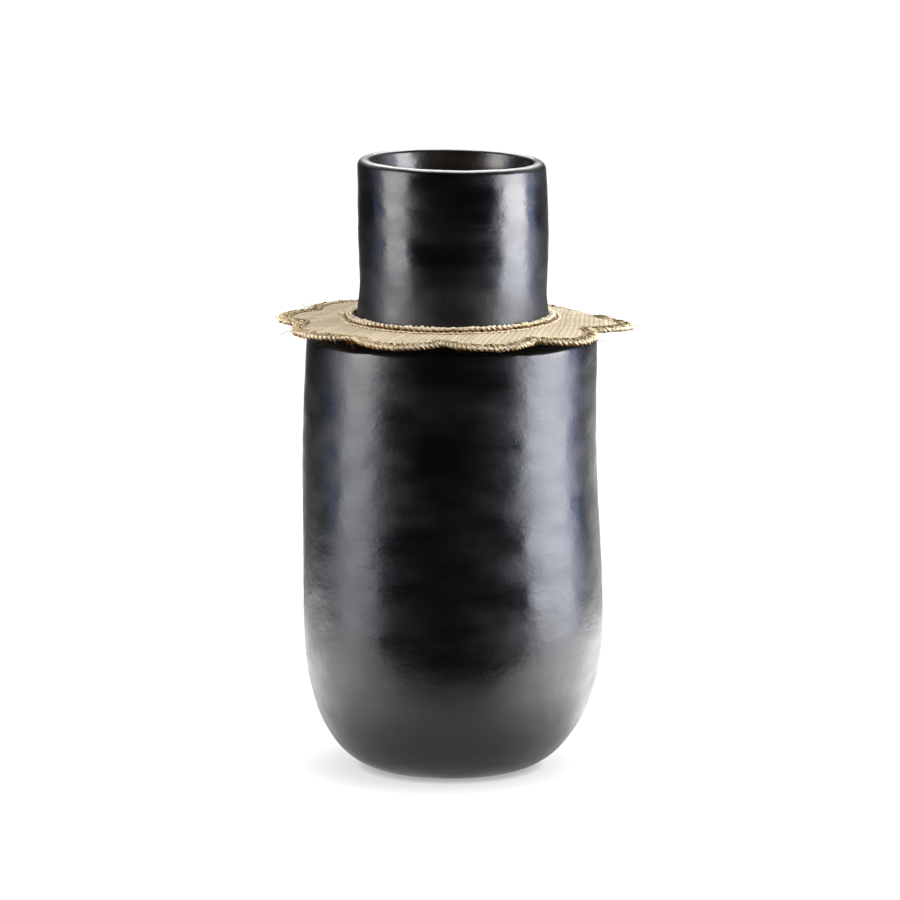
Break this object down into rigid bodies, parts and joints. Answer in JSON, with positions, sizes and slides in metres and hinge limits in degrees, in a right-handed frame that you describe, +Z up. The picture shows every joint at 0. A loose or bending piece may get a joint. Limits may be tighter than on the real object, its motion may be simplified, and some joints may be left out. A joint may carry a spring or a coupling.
{
  "type": "vase",
  "caption": "Tall round-bottomed black clay vase with a wide cylindrical neck and a loose woven fibre collar with a scalloped crocheted edge.",
  "frame": {"origin": "middle of the flat foot, on the surface that the vase stands on", "axes": "+Z up along the axis of the vase, -Y towards the front, +X to the right seen from the front"},
  "size_m": [0.2652, 0.262, 0.46],
  "materials": {
    "burnished_black_clay": "stone-burnished, smoke-blackened",
    "woven_fibre": "plain-woven natural plant fibre",
    "crochet_yarn": "crocheted natural plant fibre"
  },
  "bodies": {
    "vase": {"clay_vase": "burnished_black_clay"},
    "collar": {"collar_cloth": "woven_fibre", "neck_edging": "crochet_yarn", "scallop_edging": "crochet_yarn"}
  },
  "joints": [
    {"name": "collar_lift", "type": "slide", "parent": "vase", "child": "collar", "axis": [0, 0, 1], "range_m": [0, 0.14]}
  ]
}
